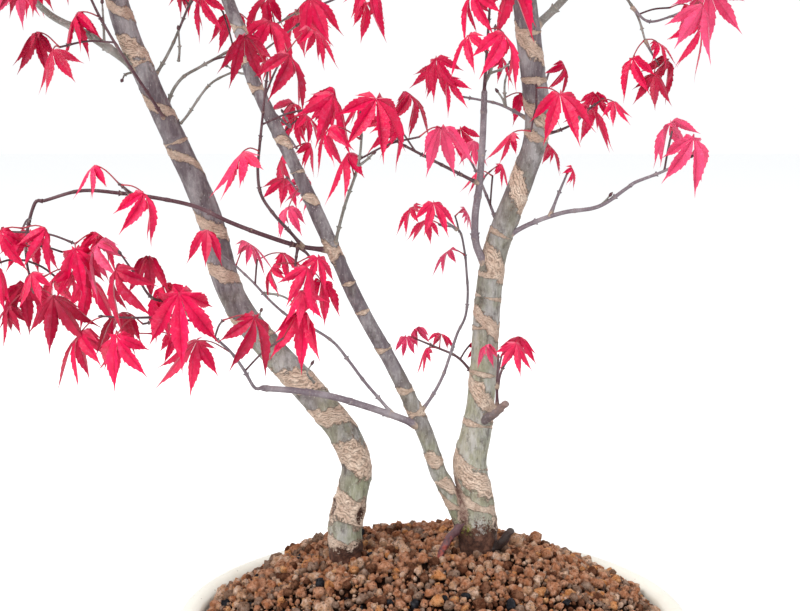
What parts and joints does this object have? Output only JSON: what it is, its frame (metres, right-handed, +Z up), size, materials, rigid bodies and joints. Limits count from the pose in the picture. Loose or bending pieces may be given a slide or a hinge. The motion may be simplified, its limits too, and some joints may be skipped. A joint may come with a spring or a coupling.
{
  "type": "potted bonsai maple tree",
  "caption": "Bonsai maple tree, red-leaved, with slender grey stems in an oval cream glazed pot heaped with granular soil.",
  "frame": {"origin": "middle of the pot's flat underside", "axes": "+Z up from the underside through the crown, +X along the pot's long axis, -Y towards the front of the tree"},
  "size_m": [0.4792, 0.2498, 0.578],
  "materials": {
    "trunk_bark": "smooth bark",
    "shoot_bark": "smooth young bark",
    "crimson_leaf": "soft matt leaf",
    "cream_glaze": "gloss",
    "soil_grains": "matt, crumbly"
  },
  "bodies": {
    "root": {"far_left_leaves": "crimson_leaf", "front_stem_leaves": "crimson_leaf", "hanging_leaves": "crimson_leaf", "hanging_right_leaves": "crimson_leaf", "inner_leaves": "crimson_leaf", "inner_left_leaves": "crimson_leaf", "inner_top_leaves": "crimson_leaf", "left_back_bough": "shoot_bark", "left_front_bough": "shoot_bark", "left_front_leaves": "crimson_leaf", "left_rear_leaves": "crimson_leaf", "left_shoot": "shoot_bark", "left_shoot_leaves": "crimson_leaf", "left_side_leaves": "crimson_leaf", "left_top_leaves": "crimson_leaf", "left_trunk": "trunk_bark", "left_trunk_leaves": "crimson_leaf", "left_twig_leaves": "crimson_leaf", "left_up_leaves": "crimson_leaf", "low_inner_leaves": "crimson_leaf", "low_left_bough": "shoot_bark", "low_left_leaves": "crimson_leaf", "middle_back_bough": "shoot_bark", "middle_front_bough": "shoot_bark", "middle_front_leaves": "crimson_leaf", "middle_front_top_leaves": "crimson_leaf", "middle_left_leaves": "crimson_leaf", "middle_rear_leaves": "crimson_leaf", "middle_rear_top_leaves": "crimson_leaf", "middle_stem": "trunk_bark", "middle_top_leaves": "crimson_leaf", "pot": "cream_glaze", "rear_trunk_leaves": "crimson_leaf", "right_back_bough": "shoot_bark", "right_bough": "shoot_bark", "right_front_bough": "shoot_bark", "right_front_leaves": "crimson_leaf", "right_inner_bough": "shoot_bark", "right_leaves": "crimson_leaf", "right_rear_leaves": "crimson_leaf", "right_top_leaves": "crimson_leaf", "right_trunk": "trunk_bark", "right_twig_leaves": "crimson_leaf", "side_stem": "shoot_bark", "side_stem_leaves": "crimson_leaf", "soil": "soil_grains", "stub_leaves": "crimson_leaf", "top_right_bough": "shoot_bark", "top_right_leaves": "crimson_leaf", "trunk_front_leaves": "crimson_leaf", "trunk_left_leaves": "crimson_leaf", "trunk_rear_leaves": "crimson_leaf", "trunk_right_leaves": "crimson_leaf", "upper_left_bough": "shoot_bark", "upper_right_bough": "shoot_bark", "upper_right_leaves": "crimson_leaf"}
  },
  "joints": []
}
